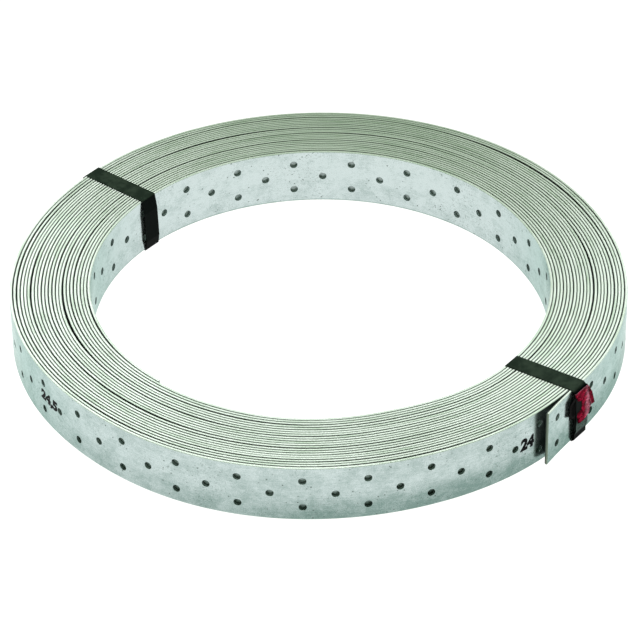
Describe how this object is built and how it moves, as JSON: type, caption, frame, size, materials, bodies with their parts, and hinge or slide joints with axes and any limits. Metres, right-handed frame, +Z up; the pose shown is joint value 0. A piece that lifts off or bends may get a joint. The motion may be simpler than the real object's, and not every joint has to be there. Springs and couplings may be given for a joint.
{
  "type": "roll of steel tension strap",
  "caption": "Flat coil of perforated galvanised steel strap with a large open eye, a flat free end and two black tie bands with red seals.",
  "frame": {"origin": "on the axis of the coil's eye, level with the coil's lower end", "axes": "+Z up along the axis of the eye, -Y out of the flat face of the free end"},
  "size_m": [0.4, 0.4144, 0.041],
  "materials": {
    "strap_zinc": "satin",
    "band_black": "satin",
    "seal_red": "satin"
  },
  "bodies": {
    "root": {"strap": "strap_zinc", "front_band": "band_black", "rear_band": "band_black", "front_seal": "seal_red", "rear_seal": "seal_red"}
  },
  "joints": []
}
